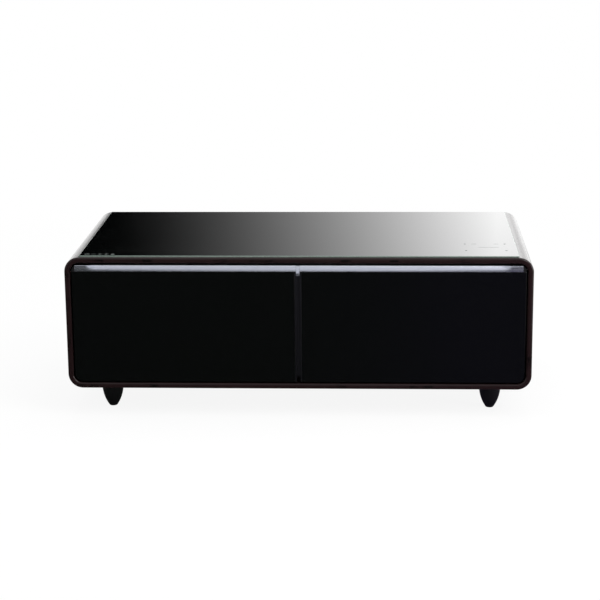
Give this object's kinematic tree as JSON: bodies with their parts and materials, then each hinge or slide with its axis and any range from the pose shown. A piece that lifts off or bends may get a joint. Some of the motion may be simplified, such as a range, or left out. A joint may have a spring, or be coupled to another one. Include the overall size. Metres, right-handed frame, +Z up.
{
  "type": "smart coffee table",
  "caption": "Low coffee table with a black glass top over a rounded laminate shell that holds a pair of cooled, glass-fronted drawers, on bullet-shaped feet.",
  "frame": {"origin": "on the floor, under the middle of the table", "axes": "+X to the right of someone facing the drawers, +Y to the back, +Z up; the drawers open towards -Y"},
  "size_m": [1.3, 0.65, 0.46],
  "materials": {
    "laminate": "satin",
    "black_glass": "polished",
    "aluminium": "satin",
    "dark_trim": "satin",
    "black_plastic": "satin",
    "light_plastic": "satin",
    "foam": "matte",
    "steel": "satin",
    "painted_steel": "satin",
    "rubber": "matte",
    "circuit_board": "satin",
    "copper": "satin"
  },
  "bodies": {
    "cabinet": {"shell": "laminate", "glass_top": "black_glass", "touch_board": "circuit_board", "wireless_charger": "copper", "foot_front_left": "black_plastic", "foot_front_right": "black_plastic", "foot_rear_left": "black_plastic", "foot_rear_right": "black_plastic", "front_frame": "steel", "insulation": "foam", "bulkhead": "steel", "centre_strip": "dark_trim", "centre_cap": "aluminium", "left_liner": "light_plastic", "left_evaporator_cover": "light_plastic", "left_evaporator": "aluminium", "left_inboard_cabinet_rail": "steel", "left_outboard_cabinet_rail": "steel", "right_liner": "light_plastic", "right_evaporator_cover": "light_plastic", "right_evaporator": "aluminium", "right_inboard_cabinet_rail": "steel", "right_outboard_cabinet_rail": "steel", "compressor": "painted_steel", "compressor_base": "steel", "condenser": "aluminium", "condenser_fan_frame": "black_plastic", "discharge_pipe": "copper", "power_supply": "steel", "rear_panel": "painted_steel", "left_speaker": "black_plastic", "right_speaker": "black_plastic", "mains_inlet": "black_plastic", "usb_panel": "black_plastic"},
    "left_drawer": {"left_door_glass": "black_glass", "left_door_pan": "dark_trim", "left_door_foam": "foam", "left_grip": "aluminium", "left_gasket": "rubber", "left_bin": "light_plastic", "left_divider": "light_plastic", "left_inboard_drawer_rail": "steel", "left_outboard_drawer_rail": "steel"},
    "right_drawer": {"right_door_glass": "black_glass", "right_door_pan": "dark_trim", "right_door_foam": "foam", "right_grip": "aluminium", "right_gasket": "rubber", "right_bin": "light_plastic", "right_divider": "light_plastic", "right_inboard_drawer_rail": "steel", "right_outboard_drawer_rail": "steel"},
    "left_middle_rails": {"left_inboard_middle_rail": "steel", "left_outboard_middle_rail": "steel"},
    "right_middle_rails": {"right_inboard_middle_rail": "steel", "right_outboard_middle_rail": "steel"},
    "left_evaporator_rotor": {"left_evaporator_fan": "black_plastic"},
    "right_evaporator_rotor": {"right_evaporator_fan": "black_plastic"},
    "condenser_rotor": {"condenser_fan": "black_plastic"},
    "switch_rocker": {"power_switch": "black_plastic"}
  },
  "joints": [
    {"name": "left_drawer_slide", "type": "slide", "parent": "cabinet", "child": "left_drawer", "axis": [0, -1, 0], "range_m": [0, 0.35]},
    {"name": "right_drawer_slide", "type": "slide", "parent": "cabinet", "child": "right_drawer", "axis": [0, -1, 0], "range_m": [0, 0.35]},
    {"name": "left_rail_slide", "type": "slide", "parent": "cabinet", "child": "left_middle_rails", "axis": [0, -1, 0], "range_m": [0, 0.175]},
    {"name": "right_rail_slide", "type": "slide", "parent": "cabinet", "child": "right_middle_rails", "axis": [0, -1, 0], "range_m": [0, 0.175]},
    {"name": "left_evaporator_fan_spin", "type": "hinge", "parent": "cabinet", "child": "left_evaporator_rotor", "pos_m": [-0.122, 0.1172, 0.265], "axis": [0, 1, 0], "continuous": true},
    {"name": "right_evaporator_fan_spin", "type": "hinge", "parent": "cabinet", "child": "right_evaporator_rotor", "pos_m": [0.122, 0.1172, 0.265], "axis": [0, 1, 0], "continuous": true},
    {"name": "condenser_fan_spin", "type": "hinge", "parent": "cabinet", "child": "condenser_rotor", "pos_m": [0.0584, 0.243, 0.1543], "axis": [1, 0, 0], "continuous": true},
    {"name": "power_switch_rock", "type": "hinge", "parent": "cabinet", "child": "switch_rocker", "pos_m": [0.387, 0.3163, 0.156], "axis": [1, 0, 0], "range_deg": [-14, 0]}
  ],
  "couplings": [
    {"joint": "left_rail_slide", "follows": "left_drawer_slide", "ratio": 0.5},
    {"joint": "right_rail_slide", "follows": "right_drawer_slide", "ratio": 0.5}
  ]
}
